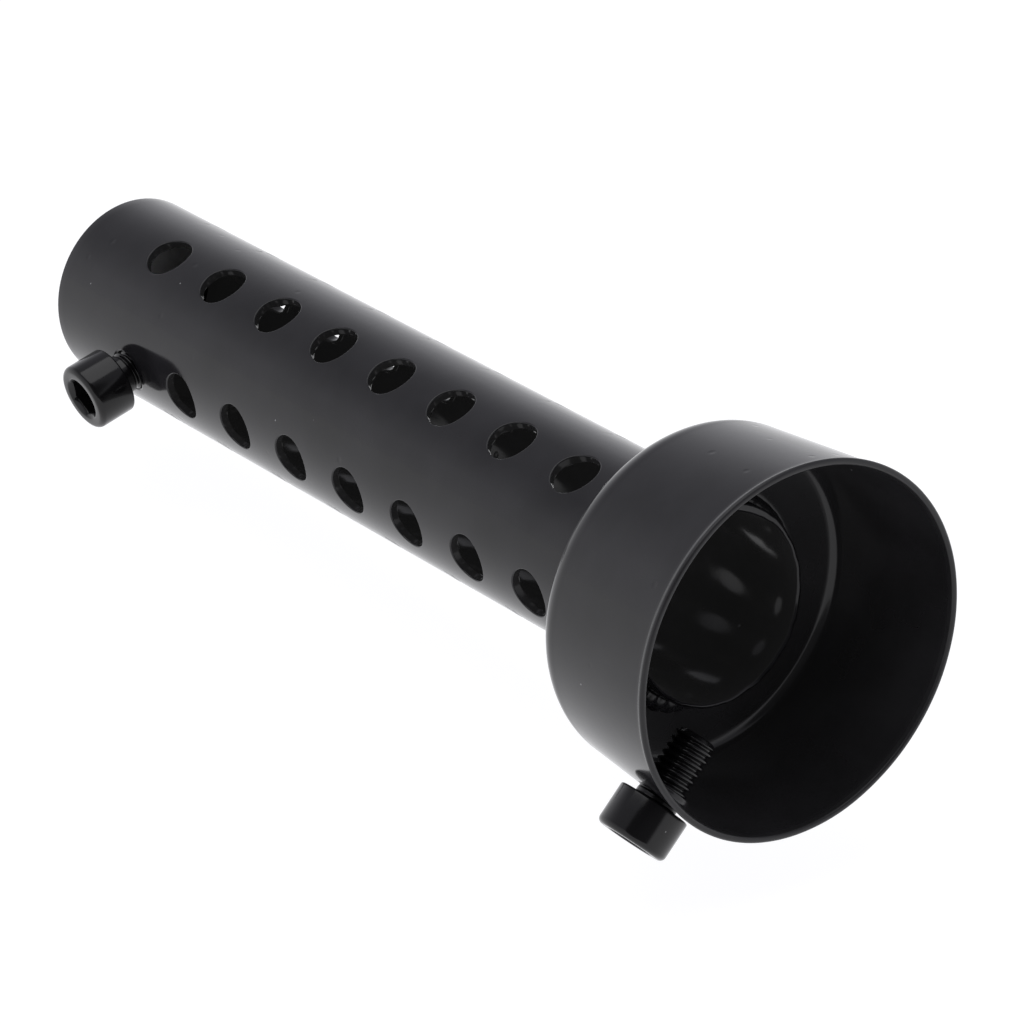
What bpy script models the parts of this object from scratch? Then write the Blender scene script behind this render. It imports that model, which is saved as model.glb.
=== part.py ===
"""Perforated exhaust baffle insert: a mouth cup welded round a drilled tube,
a disc that closes the tube's tail, and two socket-head clamp screws.

The tube's axis is world X. The origin is the centre of the tail disc's outer face,
and +X points to the open mouth. Angles round the tube are clock angles: 0 is up (+Z)
and 90 degrees is towards +Y. Lengths are in metres.
"""
from math import asin, cos, degrees, pi, radians, sin

import bmesh
import bpy
from mathutils import Matrix, Vector

# Driving dimensions.
LENGTH = 0.153            # tail disc to mouth plane
MOUTH_RADIUS = 0.0255     # outside of the mouth's lip
TUBE_RADIUS = 0.0135      # outside of the perforated tube
TUBE_WALL = 0.0010
GAP = 0.0003              # kept between pieces that touch

# Mouth cup, of sheet metal. Depths are measured back from the mouth plane.
CUP_SHEET = 0.0010
CUP_DEPTH = 0.0248        # to the rolled back edge
FLOOR_DEPTH = 0.0208      # to the floor's front face, which stands forward of that edge
LIP_DEPTH = 0.0013
CUP_FRONT_RADIUS = 0.02515
CUP_BACK_RADIUS = 0.0235
CUP_SHOULDER = 0.0042     # outside radius of the rolled back edge
FLOOR_FILLET = 0.0022     # inside radius of the corner between wall and floor

# Perforated tube.
TUBE_MOUTH_DEPTH = 0.0166  # the tube's open end, back from the mouth plane
HOLE_RADIUS = 0.0034
HOLE_RINGS = 8
FIRST_RING_X = 0.0186
RING_PITCH = 0.01356
ROW_ANGLES = (-25.4, -103.2, 154.6, 76.8)  # two rows drilled right through: four rows of holes
SCREW_ROW = 1             # this row's first hole takes the tail screw instead

# Tail disc, set into the tube flush with its end. Weld fills the groove round it.
DISC_THICKNESS = 0.0012
DISC_RADIUS = 0.0110

# Socket-head cap screws, M6 x 10.
HEAD_RADIUS = 0.0049
HEAD_HEIGHT = 0.0058
HEAD_CHAMFER = 0.0006
SHANK_RADIUS = 0.00295
SHANK_LENGTH = 0.010
SHANK_CHAMFER = 0.0006
SOCKET_ACROSS_FLATS = 0.005
SOCKET_DEPTH = 0.003
MOUTH_SCREW = {"x": 0.1458, "angle": -136.6, "seat": 0.02545}
TAIL_SCREW = {"x": 0.0180, "angle": -107.0, "seat": 0.0158}

# Collars pressed inward round the two screws' holes.
COLLAR_RADIUS = 0.0039
SCREW_HOLE_RADIUS = SHANK_RADIUS + GAP
CUP_COLLAR = (0.0231, 0.0240)
TUBE_COLLAR = (0.0107, 0.01275)

TURN_STEPS = 72
BORE = TUBE_RADIUS - TUBE_WALL
FLOOR_X = LENGTH - FLOOR_DEPTH   # the cup floor's front face

PAINT = (0.022, 0.022, 0.025)
SCREW_BLACK = (0.016, 0.016, 0.018)


def clear_scene():
    for item in list(bpy.data.objects):
        bpy.data.objects.remove(item, do_unlink=True)


def new_collection(name):
    group = bpy.data.collections.new(name)
    bpy.context.scene.collection.children.link(group)
    return group


def material(name, colour, roughness, metallic):
    made = bpy.data.materials.new(name)
    made.use_nodes = True
    shader = made.node_tree.nodes["Principled BSDF"]
    shader.inputs["Base Color"].default_value = (*colour, 1.0)
    shader.inputs["Roughness"].default_value = roughness
    shader.inputs["Metallic"].default_value = metallic
    return made


def add_object(name, mesh, group, finish=None):
    item = bpy.data.objects.new(name, mesh)
    group.objects.link(item)
    if finish:
        mesh.materials.append(finish)
    return item


def arc(centre_radius, centre_height, radius, start, end, points):
    """Points of an arc in the (radius, height) plane, angles in degrees from +radius."""
    span = [radians(start + (end - start) * i / (points - 1)) for i in range(points)]
    return [(centre_radius + radius * cos(a), centre_height + radius * sin(a)) for a in span]


def turned(name, outline, group, finish, closed=True):
    """Turn an outline of (radius, height) points about local Z.

    The outline runs down its outer side, top to bottom. An open outline starts and
    ends on the axis.
    """
    mesh = bpy.data.meshes.new(name)
    count = len(outline)
    edges = [(i, i + 1) for i in range(count - 1)]
    if closed:
        edges.append((count - 1, 0))
    mesh.from_pydata([(r, 0.0, h) for r, h in outline], edges, [])
    item = add_object(name, mesh, group, finish)
    screw = item.modifiers.new("turn", "SCREW")
    screw.axis = "Z"
    screw.angle = 2 * pi
    screw.steps = TURN_STEPS
    screw.render_steps = TURN_STEPS
    screw.use_merge_vertices = True
    screw.merge_threshold = 0.00001
    return item


def along_tube(item, x):
    """Lay a turned piece down, so that its local +Z points along world +X from x."""
    item.rotation_euler = (0.0, pi / 2, 0.0)
    item.location = (x, 0.0, 0.0)


def outward(angle):
    """Unit vector away from the tube's axis at a clock angle in degrees."""
    return Vector((0.0, sin(radians(angle)), cos(radians(angle))))


def radial_cylinder(bm, x, angle, inner, outer, radius, segments):
    """Add a capped cylinder that stands on the tube's axis line at x, from inner to outer."""
    place = Matrix.Translation(Vector((x, 0.0, 0.0)) + outward(angle) * (inner + outer) / 2)
    turn = Matrix.Rotation(-radians(angle), 4, "X")
    bmesh.ops.create_cone(bm, cap_ends=True, segments=segments, radius1=radius, radius2=radius,
                          depth=outer - inner, matrix=place @ turn)


def cutter(name, cylinders, group, segments=24):
    """One guide object that holds several cylinders, each (x, angle, inner, outer, radius)."""
    bm = bmesh.new()
    for x, angle, inner, outer, radius in cylinders:
        radial_cylinder(bm, x, angle, inner, outer, radius, segments)
    mesh = bpy.data.meshes.new(name)
    bm.to_mesh(mesh)
    bm.free()
    item = add_object(name, mesh, group)
    item.hide_render = True
    item.display_type = "WIRE"
    return item


def boolean(item, other, operation):
    step = item.modifiers.new(operation.lower(), "BOOLEAN")
    step.object = other
    step.operation = operation
    step.solver = "EXACT"


def smooth(item):
    item.data.shade_smooth()
    item.data.set_sharp_from_angle(angle=radians(30))


def build_mouth_cup(parts, cutters, finish):
    """Tapered wall with a slightly wider lip, a rolled back edge and a pierced floor.

    Heights are measured forward from the rolled edge.
    """
    front = CUP_DEPTH
    floor = CUP_DEPTH - FLOOR_DEPTH
    roll = CUP_BACK_RADIUS - CUP_SHOULDER
    inner_roll = CUP_SHOULDER - CUP_SHEET
    meets = degrees(asin((CUP_SHOULDER - floor + CUP_SHEET) / inner_roll))
    hole = TUBE_RADIUS + GAP
    slope = (CUP_FRONT_RADIUS - CUP_BACK_RADIUS) / (front - LIP_DEPTH - CUP_SHOULDER)
    fillet_top = floor + FLOOR_FILLET
    wall = CUP_BACK_RADIUS - CUP_SHEET + slope * (fillet_top - CUP_SHOULDER)
    outline = [(MOUTH_RADIUS, front), (MOUTH_RADIUS, front - LIP_DEPTH / 2),
               (CUP_FRONT_RADIUS, front - LIP_DEPTH)]
    outline += arc(roll, CUP_SHOULDER, CUP_SHOULDER, 0, -90, 7)
    outline += arc(roll, CUP_SHOULDER, inner_roll, -90, -meets, 5)
    outline += [(hole, floor - CUP_SHEET), (hole, floor)]
    outline += arc(wall - FLOOR_FILLET, fillet_top, FLOOR_FILLET, -90, 0, 6)
    outline += [(CUP_FRONT_RADIUS - CUP_SHEET, front - LIP_DEPTH),
                (MOUTH_RADIUS - CUP_SHEET, front - LIP_DEPTH / 2), (MOUTH_RADIUS - CUP_SHEET, front)]
    cup = turned("mouth_cup", outline, parts, finish)
    along_tube(cup, LENGTH - CUP_DEPTH)
    place = (MOUTH_SCREW["x"], MOUTH_SCREW["angle"])
    boolean(cup, cutter("cup_collar_form", [(*place, *CUP_COLLAR, COLLAR_RADIUS)], cutters), "UNION")
    drill = (*place, CUP_COLLAR[0] - 0.002, MOUTH_RADIUS + 0.004, SCREW_HOLE_RADIUS)
    boolean(cup, cutter("cup_screw_drill", [drill], cutters), "DIFFERENCE")
    return cup


def perforations():
    """Every gas hole of the tube, as short radial cylinders through one wall each."""
    holes = []
    for row, angle in enumerate(ROW_ANGLES):
        for ring in range(HOLE_RINGS):
            if row == SCREW_ROW and ring == 0:
                continue
            x = FIRST_RING_X + ring * RING_PITCH
            holes.append((x, angle, BORE - 0.003, TUBE_RADIUS + 0.003, HOLE_RADIUS))
    return holes


def build_baffle_tube(parts, cutters, finish):
    """Open tube from the tail disc to inside the mouth cup, drilled in four rows."""
    top = LENGTH - TUBE_MOUTH_DEPTH
    outline = [(TUBE_RADIUS, top), (TUBE_RADIUS, 0.0), (BORE, 0.0), (BORE, top)]
    tube = turned("baffle_tube", outline, parts, finish)
    along_tube(tube, 0.0)
    place = (TAIL_SCREW["x"], TAIL_SCREW["angle"])
    boolean(tube, cutter("tube_collar_form", [(*place, *TUBE_COLLAR, COLLAR_RADIUS)], cutters), "UNION")
    drill = (*place, TUBE_COLLAR[0] - 0.002, TUBE_RADIUS + 0.003, SCREW_HOLE_RADIUS)
    boolean(tube, cutter("tube_screw_drill", [drill], cutters), "DIFFERENCE")
    boolean(tube, cutter("perforation_drills", perforations(), cutters, 20), "DIFFERENCE")
    return tube


def build_tail_disc(parts, finish):
    """Flat plug in the tube's tail, flush with the tube's end."""
    outline = [(0.0, DISC_THICKNESS), (DISC_RADIUS, DISC_THICKNESS), (DISC_RADIUS, 0.0), (0.0, 0.0)]
    disc = turned("tail_disc", outline, parts, finish, closed=False)
    along_tube(disc, 0.0)
    return disc


def build_cup_weld(parts, finish):
    """Fillet of weld inside the cup, in the corner between its floor and the tube."""
    foot = 0.0024
    inner = TUBE_RADIUS + GAP
    crown = arc(inner, GAP, foot, 90, 0, 6)
    outline = crown + [(inner, GAP)]
    weld = turned("cup_weld", outline, parts, finish)
    along_tube(weld, FLOOR_X)
    return weld


def build_tail_weld(parts, finish):
    """Weld that fills the groove between the tail disc and the tube, flush with their faces."""
    inner = DISC_RADIUS + GAP
    outer = BORE - GAP
    crown = 0.0002
    outline = [(outer, DISC_THICKNESS), (outer, crown), ((inner + outer) / 2, 0.0),
               (inner, crown), (inner, DISC_THICKNESS)]
    weld = turned("tail_weld", outline, parts, finish)
    along_tube(weld, 0.0)
    return weld


def build_screw(name, spot, parts, cutters, finish):
    """Socket-head cap screw; its origin is under the head, on its own axis, head outward."""
    head = [(0.0, HEAD_HEIGHT), (HEAD_RADIUS - HEAD_CHAMFER, HEAD_HEIGHT),
            (HEAD_RADIUS, HEAD_HEIGHT - HEAD_CHAMFER), (HEAD_RADIUS, 0.0)]
    shank = [(SHANK_RADIUS, 0.0), (SHANK_RADIUS, SHANK_CHAMFER - SHANK_LENGTH),
             (SHANK_RADIUS - SHANK_CHAMFER, -SHANK_LENGTH), (0.0, -SHANK_LENGTH)]
    screw = turned(name, head + shank, parts, finish, closed=False)
    screw.modifiers["turn"].steps = 36
    screw.modifiers["turn"].render_steps = 36
    seat = spot["seat"]
    socket_radius = SOCKET_ACROSS_FLATS / 2 / cos(pi / 6)
    floor = seat + HEAD_HEIGHT - SOCKET_DEPTH
    socket = (spot["x"], spot["angle"], floor, seat + HEAD_HEIGHT + 0.002, socket_radius)
    boolean(screw, cutter(name + "_socket", [socket], cutters, 6), "DIFFERENCE")
    screw.rotation_euler = (-radians(spot["angle"]), 0.0, 0.0)
    screw.location = Vector((spot["x"], 0.0, 0.0)) + outward(spot["angle"]) * seat
    return screw


def build():
    clear_scene()
    parts = new_collection("exhaust_baffle_insert")
    cutters = new_collection("cutters")
    pieces = [
        build_mouth_cup(parts, cutters, material("cup_paint", PAINT, 0.25, 0.0)),
        build_baffle_tube(parts, cutters, material("tube_paint", PAINT, 0.25, 0.0)),
        build_tail_disc(parts, material("disc_paint", PAINT, 0.3, 0.0)),
        build_cup_weld(parts, material("cup_weld_paint", PAINT, 0.35, 0.0)),
        build_tail_weld(parts, material("tail_weld_paint", PAINT, 0.35, 0.0)),
        build_screw("mouth_screw", MOUTH_SCREW, parts, cutters,
                    material("mouth_screw_steel", SCREW_BLACK, 0.3, 0.6)),
        build_screw("tail_screw", TAIL_SCREW, parts, cutters,
                    material("tail_screw_steel", SCREW_BLACK, 0.3, 0.6)),
    ]
    for piece in pieces:
        smooth(piece)
    bpy.context.view_layer.update()


build()
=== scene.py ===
from math import acos, asin, atan2, cos, degrees, hypot, pi, radians, sin, sqrt, tan

import bmesh
import bpy
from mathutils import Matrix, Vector, noise


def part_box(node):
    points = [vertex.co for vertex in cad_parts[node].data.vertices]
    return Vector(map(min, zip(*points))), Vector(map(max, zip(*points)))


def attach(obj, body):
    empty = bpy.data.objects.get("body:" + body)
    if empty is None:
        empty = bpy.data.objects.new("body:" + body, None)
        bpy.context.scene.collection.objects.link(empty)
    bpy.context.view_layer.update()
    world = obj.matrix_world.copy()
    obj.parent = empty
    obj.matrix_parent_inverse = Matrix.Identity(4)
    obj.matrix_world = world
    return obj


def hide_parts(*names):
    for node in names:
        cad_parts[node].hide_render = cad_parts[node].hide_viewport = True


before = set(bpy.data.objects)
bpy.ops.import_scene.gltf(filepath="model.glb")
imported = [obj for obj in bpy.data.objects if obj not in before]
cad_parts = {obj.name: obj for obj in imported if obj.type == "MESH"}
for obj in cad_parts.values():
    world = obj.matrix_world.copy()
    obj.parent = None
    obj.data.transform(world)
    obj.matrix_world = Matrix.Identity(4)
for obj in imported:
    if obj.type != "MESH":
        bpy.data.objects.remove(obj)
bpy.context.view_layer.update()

MM = 0.001

# ---------------------------------------------------------------- sizes read from the frame
CUP_LOW, CUP_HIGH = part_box("mouth_cup")
TUBE_LOW, TUBE_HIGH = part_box("baffle_tube")
DISC_LOW, DISC_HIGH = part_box("tail_disc")
MOUTH_X = CUP_HIGH[0]
CUP_BACK_X = CUP_LOW[0]
MOUTH_RADIUS = (CUP_HIGH[1] - CUP_LOW[1]) / 2
TUBE_RADIUS = (TUBE_HIGH[1] - TUBE_LOW[1]) / 2
TUBE_MOUTH_X = TUBE_HIGH[0]

# ---------------------------------------------------------------- sizes shared with the CAD source
CUP_SHEET = 1.0 * MM
CUP_FRONT_RADIUS = 25.15 * MM
CUP_BACK_RADIUS = 23.5 * MM
CUP_SHOULDER = 4.2 * MM
FLOOR_X = 132.2 * MM
LIP_DEPTH = 1.3 * MM
TUBE_WALL = 1.0 * MM
BORE = TUBE_RADIUS - TUBE_WALL
HOLE_RADIUS = 3.4 * MM
HOLE_RINGS = 8
FIRST_RING_X = 18.6 * MM
RING_PITCH = 13.56 * MM
ROW_ANGLES = (-103.2, -25.4, 76.8, 154.6)
SCREW_ROW = 0              # this row's first hole takes the tail screw instead
TAIL_SCREW_ANGLE = -107.0
TAIL_SCREW_X = 18.0 * MM
MOUTH_SCREW_ANGLE = -136.6
MOUTH_SCREW_X = 145.8 * MM
HEAD_RADIUS = 4.9 * MM
HEAD_HEIGHT = 5.8 * MM
SHANK_RADIUS = 2.95 * MM
SHANK_LENGTH = 10.0 * MM
SOCKET_DEPTH = 3.0 * MM

# ---------------------------------------------------------------- sizes of the visual model only
FLOOR_FILLET = 1.6 * MM    # corner between the cup's floor and wall
FLOOR_DISH = 0.7 * MM      # the floor stands this far forward round the tube
LIP_EDGE = 0.9 * MM        # sheet left at the lip
LIP_THIN = 0.75 * MM       # sheet left just behind the lip
LIP_RUN = 6.0 * MM         # length over which the wall thins
FAR_ROWS = (2, 3)          # the drill left larger burrs where it went through the far wall
NEAR_BURRS = (0.08 * MM, 0.58 * MM)
FAR_BURRS = (0.5 * MM, 1.5 * MM)
SCREW_HOLE_RADIUS = SHANK_RADIUS + 0.04 * MM
CUP_COLLAR_RADIUS = 3.6 * MM
CUP_COLLAR_END = 23.15 * MM
TUBE_COLLAR_RADIUS = 3.9 * MM
TUBE_COLLAR_END = 10.75 * MM
TUBE_END_ROUNDING = 0.4 * MM
TUBE_JOIN = 0.05 * MM      # gap in the visual model between the tube and what is welded to it
MOUTH_BEAD_CLOCK = 22      # a bead thickens the tube's open end here
TAIL_LEAN = 0.45 * MM      # how far the tail end is out of square, each way
TAIL_LEAN_RUN = 6 * MM
DISC_DISH = 0.08 * MM
THREAD_PITCH = 1.0 * MM
THREAD_DEPTH = 0.5 * MM
CUP_WELD_SIZE = 1.9 * MM
WELD_LUMPS_CLOCK = -125.0  # the cup's weld is lumpiest here

# ---------------------------------------------------------------- looks
LIP_WEAR = 0.22            # added roughness
DUST_GREY = (0.42, 0.42, 0.43, 1)
BLACK = (0.0118, 0.0114, 0.0128)
BORE_BLACK = (0.016, 0.0157, 0.0163)
SCREW_BLACK = (0.0045, 0.0043, 0.0047)
SCREW_ROOM = 9.4 * MM      # the floor keeps this far below the resting plane
FLOOR_GREY = 0.15
FLOOR_GLOW = 0.97
OPENING_WAY = (62, 24)     # azimuth and elevation of the tent's dark opening
OPENING_EDGE = (43, 34)    # angles from that way at which the tent starts and ends darkening
OPENING_LEVEL = 0.12
CAMERA_WAY = (53.44, 24.1)
CAMERA_DISTANCE = 0.6957
CAMERA_TARGET = (0.0939, -0.0012, -0.0017)
CAMERA_LENS = 184.66


# ---------------------------------------------------------------- mesh helpers
def spot(x, clock, radius):
    """Point at a station, a clock angle in radians and a distance from the tube's axis."""
    return Vector((x, radius * sin(clock), radius * cos(clock)))


def grain(a, b, c, seed=0.0):
    """Smooth noise from -1 to 1."""
    return noise.noise(Vector((a + 17.3 * seed, b - 9.1 * seed, c + 4.7 * seed)))


def mix(a, b, t):
    return a + (b - a) * t


def ease(t):
    t = min(max(t, 0.0), 1.0)
    return t * t * (3 - 2 * t)


class Skin:
    """Collects rings of vertices and the quads between them."""

    def __init__(self):
        self.bm = bmesh.new()

    def ring(self, points):
        return [self.bm.verts.new(p) for p in points]

    def quad(self, *corners):
        if len(set(corners)) == len(corners):
            self.bm.faces.new(corners)

    def strip(self, first, second):
        count = len(first)
        for i in range(count):
            k = (i + 1) % count
            self.quad(first[i], first[k], second[k], second[i])

    def loft(self, rings):
        """Join rings of points one after another, and return the first and last vertex rings."""
        made = [self.ring(points) for points in rings]
        for first, second in zip(made, made[1:]):
            self.strip(first, second)
        return made[0], made[-1]

    def close(self, ring, centre):
        hub = self.bm.verts.new(centre)
        for i in range(len(ring)):
            self.bm.faces.new((ring[i], ring[(i + 1) % len(ring)], hub))

    def piece(self, name, material, body, node, warp=None, second=None, is_second=None):
        """Weld what meets, turn the faces out and make the piece ride on its body.

        Faces whose centre satisfies is_second get the second material.
        """
        bmesh.ops.remove_doubles(self.bm, verts=self.bm.verts, dist=1e-7)
        if second:
            for face in self.bm.faces:
                face.material_index = int(is_second(face.calc_center_median()))
        if warp:
            for vert in self.bm.verts:
                vert.co = warp(vert.co)
        bmesh.ops.recalc_face_normals(self.bm, faces=self.bm.faces)
        mesh = bpy.data.meshes.new(name)
        self.bm.to_mesh(mesh)
        self.bm.free()
        mesh.shade_smooth()
        mesh.materials.append(material)
        if second:
            mesh.materials.append(second)
        item = bpy.data.objects.new(name, mesh)
        bpy.context.scene.collection.objects.link(item)
        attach(item, body)
        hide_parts(node)
        return item


def turned_ring(x, radius, steps, start=0.0):
    return [spot(x, start + 2 * pi * i / steps, radius) for i in range(steps)]


def round_corner(corner, before, after, radius, steps=4):
    """Points of a rounded corner between two straight runs of an (x, radius) outline."""
    c, p, q = Vector(corner), Vector(before), Vector(after)
    to_p, to_q = (p - c).normalized(), (q - c).normalized()
    half = acos(max(-1.0, min(1.0, to_p.dot(to_q)))) / 2
    reach = radius / tan(half)
    centre = c + (to_p + to_q).normalized() * (radius / sin(half))
    first, last = c + to_p * reach, c + to_q * reach
    out = []
    for i in range(steps + 1):
        way = (first - centre).lerp(last - centre, i / steps)
        out.append(tuple(centre + way.normalized() * radius))
    return out


# ---------------------------------------------------------------- drilled walls
class DrilledWall:
    """The outer and inner skins of a round wall, on a grid of stations and clock angles.

    outer and inner give a skin's radius at a station. A hole fills a block of grid cells: its
    rings run from the block's border to the hole's edge, through the wall and out again.
    """

    SPREAD = (0.3, 0.55, 0.75, 0.9)

    def __init__(self, skin, stations, clocks, outer, inner):
        self.skin = skin
        self.stations = stations
        self.clocks = clocks
        self.outer = outer
        self.inner = inner
        self.holes = []

    def add_hole(self, rows, columns, x, clock, path):
        self.holes.append((rows, columns, x, clock, path))

    def inside(self, i, j):
        turns = len(self.clocks)
        for (i0, i1), (j0, j1), *_ in self.holes:
            if i0 <= i < i1 and (j - j0) % turns < j1 - j0:
                return True
        return False

    def build(self):
        """Returns the end rings: outer first, outer last, inner first, inner last."""
        grids = []
        for radius in (self.outer, self.inner):
            grid = [self.skin.ring([spot(x, c, radius(x)) for c in self.clocks]) for x in self.stations]
            for i in range(len(self.stations) - 1):
                for j in range(len(self.clocks)):
                    if not self.inside(i, j):
                        k = (j + 1) % len(self.clocks)
                        self.skin.quad(grid[i][j], grid[i + 1][j], grid[i + 1][k], grid[i][k])
            grids.append(grid)
        for hole in self.holes:
            self.drill(grids, *hole)
        loose = [v for v in self.skin.bm.verts if not v.link_faces]
        ends = [grids[0][0], grids[0][-1], grids[1][0], grids[1][-1]]
        kept = set(v for ring in ends for v in ring)
        for vert in loose:
            if vert not in kept:
                self.skin.bm.verts.remove(vert)
        return ends

    def drill(self, grids, rows, columns, x0, clock0, path):
        turns = len(self.clocks)
        (i0, i1), (j0, j1) = rows, columns
        border = [(i, j0) for i in range(i0, i1)] + [(i1, j) for j in range(j0, j1)]
        border += [(i, j1) for i in range(i1, i0, -1)] + [(i0, j) for j in range(j1, j0, -1)]
        step = self.clocks[1] - self.clocks[0]
        places = [(self.stations[i], self.clocks[0] + step * j) for i, j in border]
        mid = self.outer(x0)
        aims = [atan2(mid * (c - clock0), x - x0) for x, c in places]
        rings = []
        edges = [path(a) for a in aims]
        for grid, radius, end in ((grids[0], self.outer, 0), (grids[1], self.inner, -1)):
            skin_rings = [[grid[i][j % turns] for i, j in border]]
            for t in self.SPREAD:
                points = []
                for (x, c), a, edge in zip(places, aims, edges):
                    q, h = edge[end]
                    edge_clock = clock0 + atan2(q * sin(a), h)
                    xx = mix(x, x0 + q * cos(a), t)
                    points.append(spot(xx, mix(c, edge_clock, t), radius(xx)))
                skin_rings.append(self.skin.ring(points))
            rings.append(skin_rings)
        middle = []
        out_way, across = spot(0.0, clock0, 1.0), spot(0.0, clock0 + pi / 2, 1.0)
        for n in range(len(edges[0])):
            points = [Vector((x0 + e[n][0] * cos(a), 0, 0)) + out_way * e[n][1] + across * e[n][0] * sin(a)
                      for e, a in zip(edges, aims)]
            middle.append(self.skin.ring(points))
        chain = rings[0] + middle + rings[1][::-1]
        for first, second in zip(chain, chain[1:]):
            self.skin.strip(first, second)


def skin_height(skin, x0, q, a):
    """Height of a round skin above the tube's axis, at distance q and angle a from a hole's axis."""
    return sqrt(skin(x0 + q * cos(a)) ** 2 - (q * sin(a)) ** 2)


def plain_hole(x0, radius, outer, inner, seed, burr_range):
    """Path through a drilled gas hole: a paint-rounded outer edge and a ragged burr inside."""
    rim = 0.22 * MM
    lip = 0.18 * MM
    straight = 0.12 * MM

    def path(a):
        out = []
        for i in range(6):
            t = pi / 2 * i / 5
            q = radius + rim * (1 - sin(t))
            out.append((q, skin_height(outer, x0, q, a) - rim * (1 - cos(t))))
        ragged = 0.5 + 0.5 * grain(2.2 * cos(a), 2.2 * sin(a), x0 * 900, seed)
        burr = mix(*burr_range, ragged ** 2)
        wall = sqrt(inner(x0) ** 2 - (radius * sin(a)) ** 2)
        out.append((radius, wall + straight))
        out.append((radius, wall))
        out.append((radius - 0.03 * MM, wall - burr * 0.8))
        out.append((radius + 0.06 * MM, wall - burr))
        out.append((radius + 0.14 * MM, wall - burr * 0.6))
        q = radius + lip
        out.append((q, skin_height(inner, x0, q, a)))
        return out

    return path


def collared_hole(x0, radius, collar, end, outer, inner):
    """Path through a hole whose edge is pressed inward into a short collar."""
    entry = 0.45 * MM
    edge = 0.2 * MM
    root = 0.5 * MM

    def path(a):
        out = []
        for i in range(6):
            t = pi / 2 * i / 5
            q = radius + entry * (1 - sin(t))
            out.append((q, skin_height(outer, x0, q, a) - entry * (1 - cos(t))))
        for i in range(4):
            t = pi / 2 * i / 3
            out.append((radius + edge * (1 - cos(t)), end + edge * (1 - sin(t))))
        for i in range(4):
            t = pi / 2 * i / 3
            out.append((collar - edge * (1 - sin(t)), end + edge * (1 - cos(t))))
        for i in range(5):
            t = pi / 2 * i / 4
            q = collar + root * (1 - cos(t))
            out.append((q, skin_height(inner, x0, q, a) - root * (1 - sin(t))))
        return out

    return path


# ---------------------------------------------------------------- materials
class Surface:
    """A Principled material with short ways to add procedural nodes to it."""

    def __init__(self, name):
        self.material = bpy.data.materials.new(name)
        self.material.use_nodes = True
        self.nodes = self.material.node_tree.nodes
        self.links = self.material.node_tree.links
        self.shader = self.nodes["Principled BSDF"]
        self.place = self.nodes.new("ShaderNodeTexCoord").outputs["Object"]

    def set(self, **values):
        for key, value in values.items():
            self.shader.inputs[key.replace("_", " ")].default_value = value

    def texture(self, kind, scale, **values):
        node = self.nodes.new(kind)
        self.links.new(self.place, node.inputs["Vector"])
        node.inputs["Scale"].default_value = scale
        for key, value in values.items():
            node.inputs[key].default_value = value
        return node

    def axis(self, source, letter):
        node = self.nodes.new("ShaderNodeSeparateXYZ")
        self.links.new(source, node.inputs["Vector"])
        return node.outputs[letter]

    def ramp(self, source, low, high, first, last):
        node = self.nodes.new("ShaderNodeMapRange")
        self.links.new(source, node.inputs["Value"])
        for key, value in (("From Min", low), ("From Max", high), ("To Min", first), ("To Max", last)):
            node.inputs[key].default_value = value
        return node.outputs["Result"]

    def math(self, kind, a, b):
        node = self.nodes.new("ShaderNodeMath")
        node.operation = kind
        for socket, value in zip(node.inputs, (a, b)):
            if isinstance(value, (int, float)):
                socket.default_value = value
            else:
                self.links.new(value, socket)
        return node.outputs[0]

    def blend(self, factor, first, second):
        """Mix two colours, each an output socket or a fixed colour."""
        node = self.nodes.new("ShaderNodeMix")
        node.data_type = "RGBA"
        self.links.new(factor, node.inputs["Factor"])
        for key, value in (("A", first), ("B", second)):
            if isinstance(value, tuple):
                node.inputs[key].default_value = value
            else:
                self.links.new(value, node.inputs[key])
        return node.outputs["Result"]


def gloss_black(name, base, rough, peel, specks, waves=0.0, specular=0.33, haze=0.0):
    """Gloss black coat with orange peel, thin dust specks and slightly uneven gloss.

    The cup's lip is worn a little duller than the rest.
    Haze lifts the deepest shadows as the photograph's veiling light does.
    """
    coat = Surface(name)
    coat.set(IOR=1.5, Specular_IOR_Level=specular, Emission_Color=(1, 1, 1, 1), Emission_Strength=haze)
    cloud = coat.texture("ShaderNodeTexNoise", 90.0, Detail=3.0, Roughness=0.55).outputs["Fac"]
    speck = dust_specks(coat)
    darker = (*[v * 0.8 for v in base], 1)
    lighter = (*[v * 1.3 for v in base], 1)
    colour = coat.blend(coat.ramp(cloud, 0.35, 0.65, 0.0, 1.0), darker, lighter)
    colour = coat.blend(coat.math("MULTIPLY", speck, specks), colour, DUST_GREY)
    coat.links.new(colour, coat.shader.inputs["Base Color"])

    gloss = coat.ramp(cloud, 0.3, 0.7, rough * 0.85, rough * 1.2)
    along = coat.axis(coat.place, "X")
    worn = coat.ramp(along, MOUTH_X - LIP_DEPTH, MOUTH_X - LIP_DEPTH / 2, 0.0, LIP_WEAR)
    gloss = coat.math("ADD", gloss, worn)
    gloss = coat.math("ADD", gloss, coat.math("MULTIPLY", speck, 0.4))
    coat.links.new(gloss, coat.shader.inputs["Roughness"])
    add_relief(coat, cloud, speck, peel, waves)
    return coat.material


def dust_specks(coat):
    """1 at the middle of some small cells and 0 elsewhere."""
    dust = coat.texture("ShaderNodeTexVoronoi", 230.0)
    chosen = coat.math("GREATER_THAN", coat.axis(dust.outputs["Color"], "X"), 0.6)
    return coat.math("MULTIPLY", coat.ramp(dust.outputs["Distance"], 0.02, 0.032, 1.0, 0.0), chosen)


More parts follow.
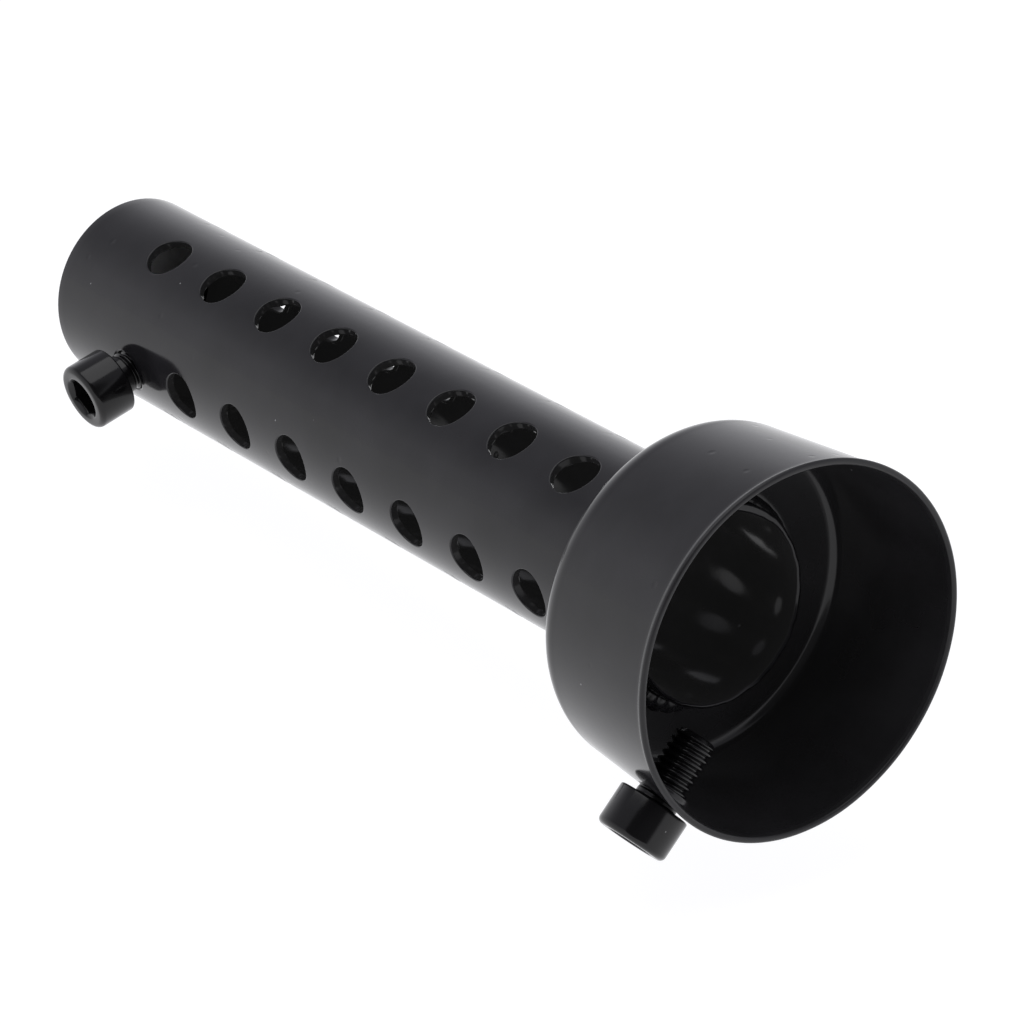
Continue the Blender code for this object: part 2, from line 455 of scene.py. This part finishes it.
def add_relief(coat, cloud, speck, peel, waves):
    """Orange peel, slow waves, raised specks and shallow pits. Heights are in millimetres."""
    fine = coat.texture("ShaderNodeTexNoise", 900.0, Detail=2.0, Roughness=0.5).outputs["Fac"]
    slow = coat.texture("ShaderNodeTexNoise", 45.0, Detail=1.0, Roughness=0.4).outputs["Fac"]
    pits = coat.texture("ShaderNodeTexVoronoi", 160.0)
    pit = coat.ramp(pits.outputs["Distance"], 0.03, 0.09, 1.0, 0.0)
    height = coat.math("ADD", coat.math("MULTIPLY", fine, peel * 0.4), coat.math("MULTIPLY", slow, waves))
    height = coat.math("ADD", height, coat.math("MULTIPLY", cloud, peel))
    height = coat.math("ADD", height, coat.math("MULTIPLY", speck, 0.03))
    height = coat.math("SUBTRACT", height, coat.math("MULTIPLY", pit, 0.02))
    bump = coat.nodes.new("ShaderNodeBump")
    bump.inputs["Strength"].default_value = 1.0
    bump.inputs["Distance"].default_value = 1.0 * MM
    coat.links.new(height, bump.inputs["Height"])
    coat.links.new(bump.outputs["Normal"], coat.shader.inputs["Normal"])


def dull_steel(name):
    """Bare, slightly rough sheet steel."""
    steel = Surface(name)
    steel.set(Metallic=0.6, Roughness=0.45)
    cloud = steel.texture("ShaderNodeTexNoise", 500.0).outputs["Fac"]
    tone = steel.nodes.new("ShaderNodeValToRGB")
    tone.color_ramp.elements[0].color = (0.45, 0.45, 0.46, 1)
    tone.color_ramp.elements[1].color = (0.72, 0.72, 0.73, 1)
    steel.links.new(cloud, tone.inputs["Fac"])
    steel.links.new(tone.outputs["Color"], steel.shader.inputs["Base Color"])
    return steel.material


# ---------------------------------------------------------------- pieces
def cup_outer(x):
    back = CUP_BACK_X + CUP_SHOULDER
    front = MOUTH_X - LIP_DEPTH
    return mix(CUP_BACK_RADIUS, CUP_FRONT_RADIUS, (x - back) / (front - back))


def cup_inner(x):
    """The wall thins gently towards the lip."""
    thinning = ease((x - MOUTH_X + LIP_RUN) / (LIP_RUN - LIP_DEPTH))
    return cup_outer(x) - mix(CUP_SHEET, LIP_THIN, thinning)


def floor_front(radius):
    """The cup's floor is slightly dished: it stands a little forward round the tube."""
    foot = CUP_BACK_RADIUS - CUP_SHEET - FLOOR_FILLET
    share = (foot - radius) / (foot - TUBE_RADIUS)
    return FLOOR_X + FLOOR_DISH * min(max(share, 0.0), 1.0)


def build_cup(material, inner_material):
    """Sheet cup: flared lip, tapered wall, rolled back edge, pierced floor and screw collar."""
    steps = 192
    half = 7                   # columns on each side of the screw's hole
    behind, across = 5, 12     # rows behind the hole's block and in it
    aim = radians(MOUTH_SCREW_ANGLE)
    clocks = [aim + 2 * pi * (j - half) / steps for j in range(steps)]
    skin = Skin()
    back = FLOOR_X + FLOOR_FILLET
    front = MOUTH_X - LIP_DEPTH
    block = 5.0 * MM
    low, high = MOUTH_SCREW_X - block, MOUTH_SCREW_X + block
    stations = [mix(back, low, i / behind) for i in range(behind)]
    stations += [mix(low, high, i / across) for i in range(across + 1)]
    stations += [mix(high, front, 0.5), front]
    wall = DrilledWall(skin, stations, clocks, cup_outer, cup_inner)
    path = collared_hole(MOUTH_SCREW_X, SCREW_HOLE_RADIUS, CUP_COLLAR_RADIUS, CUP_COLLAR_END,
                         cup_outer, cup_inner)
    wall.add_hole((behind, behind + across), (0, 2 * half), MOUTH_SCREW_X, aim, path)
    outer_back, outer_front, inner_back, inner_front = wall.build()
    start = clocks[0]

    def join(outline, first_ring, last_ring):
        first, last = skin.loft([turned_ring(x, r, steps, start) for x, r in outline])
        skin.strip(first_ring, first)
        skin.strip(last, last_ring)

    join(lip_outline(front), outer_front, inner_front)
    join(back_outline(back), outer_back, inner_back)

    def warp(point):
        """The wall is slightly out of round towards the mouth, and the lip isn't quite flat."""
        clock = atan2(point.y, point.z)
        share = ease((point.x - CUP_BACK_X) / (MOUTH_X - CUP_BACK_X))
        swell = 0.06 * cos(2 * clock + 0.8) + 0.04 * cos(3 * clock + 2.0)
        swell += 0.03 * grain(2 * cos(clock), 2 * sin(clock), point.x * 120, 1)
        edge = ease((point.x - MOUTH_X + 2 * MM) / (2 * MM))
        along = 0.09 * grain(3 * cos(clock), 3 * sin(clock), 0.5, 2) * edge
        radius = hypot(point.y, point.z) + swell * share * MM
        return spot(point.x + (along - 0.06 * edge) * MM, clock, radius)

    def inside(centre):
        """The inside and the lip, where the coat is duller and has a faint painted glow that lifts its shade.
        """
        if centre.x > front:
            return True
        radius = hypot(centre.y, centre.z)
        return centre.x > FLOOR_X - 0.2 * MM and radius < cup_inner(centre.x) + 0.1 * MM

    return skin.piece("cup_sheet", material, "insert", "mouth_cup", warp,
                      inner_material, inside)


def lip_outline(front):
    """The lip: the wall's outside flares a little and the wall ends in a rounded edge."""
    flare = MOUTH_RADIUS - CUP_FRONT_RADIUS
    rounding = 0.42 * MM
    outside, inside = [], []
    for i in range(1, 6):
        t = i / 6
        x = mix(front, MOUTH_X - rounding, t)
        radius = CUP_FRONT_RADIUS + flare * ease(t)
        outside.append((x, radius))
        inside.append((x, mix(cup_inner(front), MOUTH_RADIUS - LIP_EDGE, t)))
    high, low = MOUTH_RADIUS, MOUTH_RADIUS - LIP_EDGE
    edge = round_corner((MOUTH_X, high), (MOUTH_X - 1 * MM, high), (MOUTH_X, low), rounding, 6)
    edge += round_corner((MOUTH_X, low), (MOUTH_X, high), (MOUTH_X - 1 * MM, low), rounding, 6)
    return outside + edge + inside[::-1]


def back_outline(back):
    """From the wall's outside round the rolled back edge, along the floor and up the fillet."""
    centre_x = CUP_BACK_X + CUP_SHOULDER
    centre_r = CUP_BACK_RADIUS - CUP_SHOULDER
    inner_roll = CUP_SHOULDER - CUP_SHEET
    hole = TUBE_RADIUS + TUBE_JOIN
    floor_back = FLOOR_X - CUP_SHEET
    outline = [(mix(back, centre_x, 0.5), cup_outer(mix(back, centre_x, 0.5)))]
    for i in range(15):
        a = pi / 2 * i / 14
        outline.append((centre_x - CUP_SHOULDER * sin(a), centre_r + CUP_SHOULDER * cos(a)))
    nose = CUP_SHEET / 2
    for i in range(1, 8):
        a = pi * i / 8
        outline.append((CUP_BACK_X + nose * (1 - cos(a)), centre_r - nose * sin(a)))
    last = asin((centre_x - floor_back) / inner_roll)
    for i in range(13):
        a = mix(pi / 2, last, i / 12)
        outline.append((centre_x - inner_roll * sin(a), centre_r + inner_roll * cos(a)))
    outline += [(floor_back, mix(outline[-1][1], hole, 0.5)), (floor_back, hole + 0.15 * MM)]
    outline += [(floor_back + 0.15 * MM, hole), (floor_front(hole), hole)]
    foot = cup_inner(back) - FLOOR_FILLET
    for i in range(1, 5):
        radius = mix(hole, foot, i / 4)
        outline.append((floor_front(radius), radius))
    for i in range(1, 12):
        a = pi / 2 * i / 12
        outline.append((back - FLOOR_FILLET * cos(a), foot + FLOOR_FILLET * sin(a)))
    return outline


def set_true_normals(mesh):
    """Shade the tube's plain outside as a true cylinder, but for its warped ends."""
    near = 0.009 * MM
    low, high = 7 * MM, TUBE_MOUTH_X - 5 * MM
    normals = []
    for vert in mesh.vertices:
        radius = hypot(vert.co.y, vert.co.z)
        plain = abs(radius - TUBE_RADIUS) < near and low < vert.co.x < high
        normals.append((0.0, vert.co.y / radius, vert.co.z / radius) if plain else (0.0, 0.0, 0.0))
    mesh.normals_split_custom_set_from_vertices(normals)


def tail_cut(point):
    """Shift a point near the tail along X: the tail end is cut slightly out of square."""
    share = ease(1 - point.x / TAIL_LEAN_RUN)
    lean = TAIL_LEAN * (point.y + point.z) / TUBE_RADIUS
    return Vector((point.x - lean * share, point.y, point.z))


def tube_outer(x):
    """The same at every station, but a DrilledWall asks for a skin's radius by station."""
    return TUBE_RADIUS


def tube_inner(x):
    return BORE


def drill_tube(wall, before, along, quarter):
    """Drill every gas hole and the tail screw's hole.

    before is the number of rows behind the first ring; each hole's block is along rows long
    and a quarter turn wide.
    """
    for row, angle in enumerate(ROW_ANGLES):
        for ring in range(HOLE_RINGS):
            rows = (before + ring * along, before + (ring + 1) * along)
            columns = (row * quarter, (row + 1) * quarter)
            if row == SCREW_ROW and ring == 0:
                path = collared_hole(TAIL_SCREW_X, SCREW_HOLE_RADIUS, TUBE_COLLAR_RADIUS,
                                     TUBE_COLLAR_END, tube_outer, tube_inner)
                wall.add_hole(rows, columns, TAIL_SCREW_X, radians(TAIL_SCREW_ANGLE), path)
                continue
            x = FIRST_RING_X + ring * RING_PITCH
            burrs = FAR_BURRS if row in FAR_ROWS else NEAR_BURRS
            path = plain_hole(x, HOLE_RADIUS, tube_outer, tube_inner, row * 10 + ring, burrs)
            wall.add_hole(rows, columns, x, radians(angle), path)


def round_tube_end(skin, x_end, way, outer_ring, inner_ring, first_clock):
    """Round both edges of an end; way is +1 where the tube lies on the +X side of it."""
    inside_x = x_end + way * 2 * MM
    outline = round_corner((x_end, TUBE_RADIUS), (inside_x, TUBE_RADIUS), (x_end, BORE),
                           TUBE_END_ROUNDING, 6)
    outline += round_corner((x_end, BORE), (x_end, TUBE_RADIUS), (inside_x, BORE),
                            TUBE_END_ROUNDING, 6)
    turns = len(outer_ring)
    first, last = skin.loft([turned_ring(x, r, turns, first_clock) for x, r in outline[1:]])
    skin.strip(outer_ring, first)
    skin.strip(last, inner_ring)


def tube_warp(point):
    """Both ends are cut a little out of square, and the mouth end is ragged and lumpy.

    The sheet is thinned at the mouth end, except at one bead. Sizes are in millimetres.
    """
    clock = atan2(point.y, point.z)
    radius = hypot(point.y, point.z)
    end = ease((point.x - TUBE_MOUTH_X + 4 * MM) / (4 * MM))
    tip = ease((point.x - TUBE_MOUTH_X + 1.2 * MM) / (1.2 * MM))
    lump = grain(2.5 * cos(clock), 2.5 * sin(clock), 1.0, 5)
    fine = grain(9 * cos(clock), 9 * sin(clock), point.x * 400, 6)
    bead = max(0.0, cos(clock - radians(MOUTH_BEAD_CLOCK))) ** 8
    out = radius > TUBE_RADIUS - TUBE_WALL / 2
    radius += (0.08 * lump * end + 0.14 * fine * tip) * MM
    radius += (0.30 * bead if out else 0.40 * (1 - bead)) * tip * MM
    skew = -0.9 * cos(clock) * end
    shift = skew + (0.10 * lump + 0.12 * fine) * tip
    return tail_cut(spot(point.x + shift * MM, clock, radius))


def build_tube(material, bore_material):
    """Drilled tube with paint-rounded hole edges and ragged burrs inside."""
    turns = 96
    before, along, after = 8, 16, 10   # rows before the rings, per ring and after them
    skin = Skin()
    first_clock = radians((ROW_ANGLES[0] + ROW_ANGLES[1]) / 2 - 90)
    clocks = [first_clock + 2 * pi * j / turns for j in range(turns)]
    first_x = FIRST_RING_X - RING_PITCH / 2
    last_x = first_x + RING_PITCH * HOLE_RINGS
    tail = TUBE_END_ROUNDING
    mouth = TUBE_MOUTH_X - TUBE_END_ROUNDING
    stations = [mix(tail, first_x, i / before) for i in range(before)]
    stations += [first_x + RING_PITCH * i / along for i in range(along * HOLE_RINGS)]
    stations += [mix(last_x, mouth, i / after) for i in range(after + 1)]
    wall = DrilledWall(skin, stations, clocks, tube_outer, tube_inner)
    drill_tube(wall, before, along, turns // 4)
    outer_tail, outer_mouth, inner_tail, inner_mouth = wall.build()
    round_tube_end(skin, 0.0, 1, outer_tail, inner_tail, first_clock)
    round_tube_end(skin, TUBE_MOUTH_X, -1, outer_mouth, inner_mouth, first_clock)

    def in_bore(centre):
        """The bore and the walls of the holes."""
        radius = hypot(centre.y, centre.z)
        at_end = not tail < centre.x < mouth
        return radius < (BORE + 0.05 * MM if at_end else TUBE_RADIUS - 0.3 * MM)

    item = skin.piece("tube_drilled", material, "insert", "baffle_tube", tube_warp,
                      bore_material, in_bore)
    set_true_normals(item.data)
    return item


def build_disc(material, steel):
    """Tail plate, very slightly dished, with a rounded edge and a bare inner face."""
    steps = 128
    radius = (DISC_HIGH[1] - DISC_LOW[1]) / 2
    edge = 0.25 * MM
    skin = Skin()
    outline = [(DISC_LOW[0] + DISC_DISH * (1 - (r / 8) ** 2), radius * r / 10) for r in range(1, 9)]
    outline += round_corner((DISC_LOW[0], radius), (DISC_LOW[0], 0.0), (DISC_HIGH[0], radius), edge)
    outline += round_corner((DISC_HIGH[0], radius), (DISC_LOW[0], radius), (DISC_HIGH[0], 0.0), edge)
    outline += [(DISC_HIGH[0], radius * r / 10) for r in range(8, 0, -1)]
    first, last = skin.loft([turned_ring(x, r, steps) for x, r in outline])
    skin.close(first, Vector((DISC_LOW[0] + DISC_DISH, 0, 0)))
    skin.close(last, Vector((DISC_HIGH[0], 0, 0)))

    def inner_face(centre):
        return centre.x > DISC_HIGH[0] - 0.1 * MM

    return skin.piece("tail_plate", material, "insert", "tail_disc",
                      tail_cut, steel, inner_face)


def bead(name, material, node, path, ripples, rough, seed):
    """A run of weld round the tube. path(swell, clock) gives the outline's (x, radius) points."""
    steps = 288
    skin = Skin()
    count = len(path(0.0, 0.0))
    columns = []
    for i in range(steps):
        clock = 2 * pi * i / steps
        wave = abs(sin(clock * ripples / 2 + 2.5 * grain(1.5 * cos(clock), 1.5 * sin(clock), 3, seed)))
        wave *= 0.55 + 0.45 * grain(8 * cos(clock), 8 * sin(clock), 1, seed + 2)
        lump = grain(4 * cos(clock), 4 * sin(clock), 0, seed + 1)
        columns.append(path(wave * rough + 0.6 * rough * lump, clock))
    rings = [[spot(columns[i][n][0], 2 * pi * i / steps, columns[i][n][1]) for i in range(steps)]
             for n in range(count)]
    first, last = skin.loft(rings)
    skin.strip(last, first)
    return skin.piece(name, material, "insert", node, tail_cut)


def build_cup_weld(material):
    """Fillet of weld on the cup's floor round the tube, lumpiest low on the left."""
    base = FLOOR_X + 0.6 * FLOOR_DISH

    def path(swell, clock):
        low = max(0.0, cos(clock - radians(WELD_LUMPS_CLOCK))) ** 2
        wide = CUP_WELD_SIZE * (0.6 + 0.4 * low + swell * (0.15 + low))
        points = []
        for i in range(13):
            a = pi / 2 * i / 12
            bulge = 1 + 0.10 * sin(2 * a)
            points.append((base + wide * cos(a) * bulge * 0.85, TUBE_RADIUS + wide * sin(a) * bulge))
        foot = [(base, TUBE_RADIUS + 0.06 * MM), (base + 0.5 * CUP_WELD_SIZE, TUBE_RADIUS + 0.02 * MM)]
        return points + foot

    return bead("cup_weld_bead", material, "cup_weld", path, 52, 0.34, 11)


def build_tail_weld(material):
    """Rippled weld in the groove between the tail disc and the tube, flush with their faces."""
    inner = (DISC_HIGH[1] - DISC_LOW[1]) / 2 - 0.1 * MM
    outer = BORE + TUBE_JOIN

    def path(swell, clock):
        points = []
        for i in range(11):
            t = i / 10
            sag = 0.16 * (2 * t - 1) ** 2 + 0.5 * swell
            points.append((DISC_LOW[0] + max(sag, 0.0) * MM, mix(outer, inner, t)))
        return points + [(DISC_HIGH[0], inner), (DISC_HIGH[0], outer)]

    return bead("tail_weld_bead", material, "tail_weld", path, 40, 0.2, 21)


def build_screw(name, node, body, x, angle, hex_turn, neck_end, material):
    """Socket-head cap screw with a real helical thread, laid along its own axis."""
    steps = 96
    clock = radians(angle)
    out_way = spot(0.0, clock, 1.0)
    across = spot(0.0, clock + pi / 2, 1.0)
    corners = [Vector(v.co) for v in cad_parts[node].data.vertices]
    top = max(c.dot(out_way) for c in corners)
    seat = top - HEAD_HEIGHT
    flats = 2.55 * MM
    mouth = 3.15 * MM

    def place(height, a, radius):
        return Vector((x + radius * cos(a), 0, 0)) + out_way * (seat + height) + across * radius * sin(a)

    def ring(height, radius):
        angles = [2 * pi * i / steps for i in range(steps)]
        return [place(height, a, radius(a) if callable(radius) else radius) for a in angles]

    def hexagon(scale):
        def radius(a):
            part = (degrees(a) + hex_turn) % 60 - 30
            return scale * min(flats / cos(radians(part)), mouth / scale)
        return radius

    floor = HEAD_HEIGHT - SOCKET_DEPTH
    rings = [ring(floor - 0.35 * MM, 0.6 * MM), ring(floor, 2.1 * MM), ring(floor + 0.05 * MM, hexagon(0.96)),
             ring(floor + 0.3 * MM, hexagon(1.0)), ring(HEAD_HEIGHT - 0.75 * MM, hexagon(1.0)),
             ring(HEAD_HEIGHT - 0.45 * MM, hexagon(1.02)), ring(HEAD_HEIGHT - 0.12 * MM, mouth),
             ring(HEAD_HEIGHT - 0.03 * MM, mouth + 0.08 * MM), ring(HEAD_HEIGHT, mouth + 0.22 * MM)]
    crown = round_corner((HEAD_HEIGHT, HEAD_RADIUS), (HEAD_HEIGHT, 0.0), (0.0, HEAD_RADIUS), 0.8 * MM, 8)
    foot = round_corner((0.0, HEAD_RADIUS), (HEAD_HEIGHT, HEAD_RADIUS), (0.0, 0.0), 0.3 * MM, 4)
    rings += [ring(h, r) for h, r in crown + foot]
    root = round_corner((0.0, SHANK_RADIUS), (0.0, HEAD_RADIUS), (-1 * MM, SHANK_RADIUS), 0.25 * MM, 4)
    rings += [ring(h, r) for h, r in root]

    def threaded(height):
        def radius(a):
            turn = (-height / THREAD_PITCH + a / (2 * pi)) % 1.0
            crest = ease((1 - abs(2 * turn - 1)) * 1.25 - 0.1)
            start = ease((-height - neck_end) / (0.8 * MM))
            full = SHANK_RADIUS - THREAD_DEPTH * (1 - crest) * start
            return min(full, SHANK_RADIUS - 0.75 * MM + (height + SHANK_LENGTH))
        return radius

    rings += [ring(-0.4 * MM, SHANK_RADIUS), ring(-neck_end, SHANK_RADIUS)]
    fine = THREAD_PITCH / 14
    height = -neck_end - fine
    while height > -SHANK_LENGTH + 0.05 * MM:
        rings.append(ring(height, threaded(height)))
        height -= fine
    rings.append(ring(-SHANK_LENGTH, SHANK_RADIUS - 0.85 * MM))
    skin = Skin()
    first, last = skin.loft(rings)
    skin.close(first, place(floor - 0.7 * MM, 0, 0))
    skin.close(last, place(-SHANK_LENGTH, 0, 0))
    return skin.piece(name, material, body, node)


# ---------------------------------------------------------------- setting
def direction(azimuth, elevation):
    """Unit vector from degrees: azimuth 0 is towards -Y and 90 towards +X."""
    a, e = radians(azimuth), radians(elevation)
    return Vector((sin(a) * cos(e), -cos(a) * cos(e), sin(e)))


def resting_plane():
    """Normal and offset of the plane that the lip, the tail and the mouth screw would lie on."""
    slope = atan2(MOUTH_RADIUS - TUBE_RADIUS, MOUTH_X)
    roll = radians(3.0)
    normal = Vector((sin(slope), cos(slope) * sin(roll), cos(slope) * cos(roll)))
    return normal, TUBE_RADIUS * cos(slope)


def build_floor():
    """White floor, low enough that the mouth screw stays above it when it is turned right out."""
    normal, drop = resting_plane()
    bpy.ops.mesh.primitive_plane_add(size=6.0)
    floor = bpy.context.object
    floor.name = "floor"
    floor.rotation_mode = "QUATERNION"
    floor.rotation_quaternion = normal.to_track_quat("Z", "Y")
    floor.location = -normal * (drop + SCREW_ROOM)
    paint = bpy.data.materials.new("floor_white")
    paint.use_nodes = True
    shader = paint.node_tree.nodes["Principled BSDF"]
    shader.inputs["Base Color"].default_value = (FLOOR_GREY, FLOOR_GREY, FLOOR_GREY, 1)
    shader.inputs["Roughness"].default_value = 0.9
    shader.inputs["Specular IOR Level"].default_value = 0.0
    shader.inputs["Emission Color"].default_value = (0.98, 0.98, 1.0, 1)
    shader.inputs["Emission Strength"].default_value = FLOOR_GLOW
    floor.data.materials.append(paint)


def build_world():
    """White tent, dimmer overhead, whose dark front opening lies round the camera's side."""
    world = bpy.data.worlds.new("tent")
    bpy.context.scene.world = world
    world.use_nodes = True
    nodes, links = world.node_tree.nodes, world.node_tree.links
    way = nodes.new("ShaderNodeTexCoord").outputs["Generated"]
    split = nodes.new("ShaderNodeSeparateXYZ")
    links.new(way, split.inputs["Vector"])
    ramp = nodes.new("ShaderNodeValToRGB")
    links.new(split.outputs["Z"], ramp.inputs["Fac"])
    stops = ramp.color_ramp.elements
    stops[0].position, stops[0].color = 0.0, (1.06, 1.06, 1.1, 1)
    stops[1].position, stops[1].color = 0.62, (0.44, 0.44, 0.48, 1)
    middle = stops.new(0.33)
    middle.color = (0.88, 0.88, 0.93, 1)

    toward = nodes.new("ShaderNodeVectorMath")
    toward.operation = "DOT_PRODUCT"
    links.new(way, toward.inputs[0])
    toward.inputs[1].default_value = direction(*OPENING_WAY)
    opening = nodes.new("ShaderNodeMapRange")
    opening.interpolation_type = "SMOOTHSTEP"
    links.new(toward.outputs["Value"], opening.inputs["Value"])
    opening.inputs["From Min"].default_value = cos(radians(OPENING_EDGE[0]))
    opening.inputs["From Max"].default_value = cos(radians(OPENING_EDGE[1]))
    opening.inputs["To Min"].default_value = 1.0
    opening.inputs["To Max"].default_value = OPENING_LEVEL
    links.new(ramp.outputs["Color"], nodes["Background"].inputs["Color"])
    links.new(opening.outputs["Result"], nodes["Background"].inputs["Strength"])


def add_panel(name, azimuth, elevation, distance, size, power):
    """A square soft panel that faces the object."""
    data = bpy.data.lights.new(name, "AREA")
    data.shape = "SQUARE"
    data.size = size
    data.energy = power
    item = bpy.data.objects.new(name, data)
    bpy.context.scene.collection.objects.link(item)
    way = direction(azimuth, elevation)
    item.location = Vector((MOUTH_X / 2, 0, 0)) + way * distance
    item.rotation_mode = "QUATERNION"
    item.rotation_quaternion = way.to_track_quat("Z", "Y")


def build_camera():
    """Long lens, above and beyond the mouth, at the photograph's angle."""
    data = bpy.data.cameras.new("camera")
    data.sensor_width = 36.0
    data.lens = CAMERA_LENS
    data.clip_start = 0.01
    data.dof.use_dof = False
    camera = bpy.data.objects.new("camera", data)
    bpy.context.scene.collection.objects.link(camera)
    way = direction(*CAMERA_WAY)
    camera.location = Vector(CAMERA_TARGET) + way * CAMERA_DISTANCE
    camera.rotation_mode = "QUATERNION"
    camera.rotation_quaternion = way.to_track_quat("Z", "Y")
    bpy.context.scene.camera = camera


def main():
    bpy.context.scene.view_settings.view_transform = "Standard"
    paint = gloss_black("black_paint", BLACK, 0.11, 0.010, 0.7, waves=0.012)
    # haze gives the cup's inside and the bore a faint white painted glow that lifts their shade
    inner_paint = gloss_black("cup_inner_paint", BLACK, 0.15, 0.008, 0.5, waves=0.01, haze=0.002)
    bore_paint = gloss_black("bore_paint", BORE_BLACK, 0.11, 0.006, 0.0, specular=0.17, haze=0.004)
    weld_paint = gloss_black("black_weld_paint", BLACK, 0.24, 0.03, 0.4, waves=0.05, specular=0.28)
    screw_paint = gloss_black("black_screw", SCREW_BLACK, 0.14, 0.010, 0.4, specular=0.34)
    build_cup(paint, inner_paint)
    build_tube(paint, bore_paint)
    build_disc(paint, dull_steel("disc_inner_steel"))
    build_cup_weld(weld_paint)
    build_tail_weld(weld_paint)
    build_screw("mouth_screw_threaded", "mouth_screw", "mouth_screw", MOUTH_SCREW_X,
                MOUTH_SCREW_ANGLE, 10.0, 0.6 * MM, screw_paint)
    build_screw("tail_screw_threaded", "tail_screw", "tail_screw", TAIL_SCREW_X,
                TAIL_SCREW_ANGLE, 40.0, 1.3 * MM, screw_paint)
    build_floor()
    build_world()
    add_panel("overhead", 0, 80, 1.2, 1.2, 6)
    build_camera()


main()
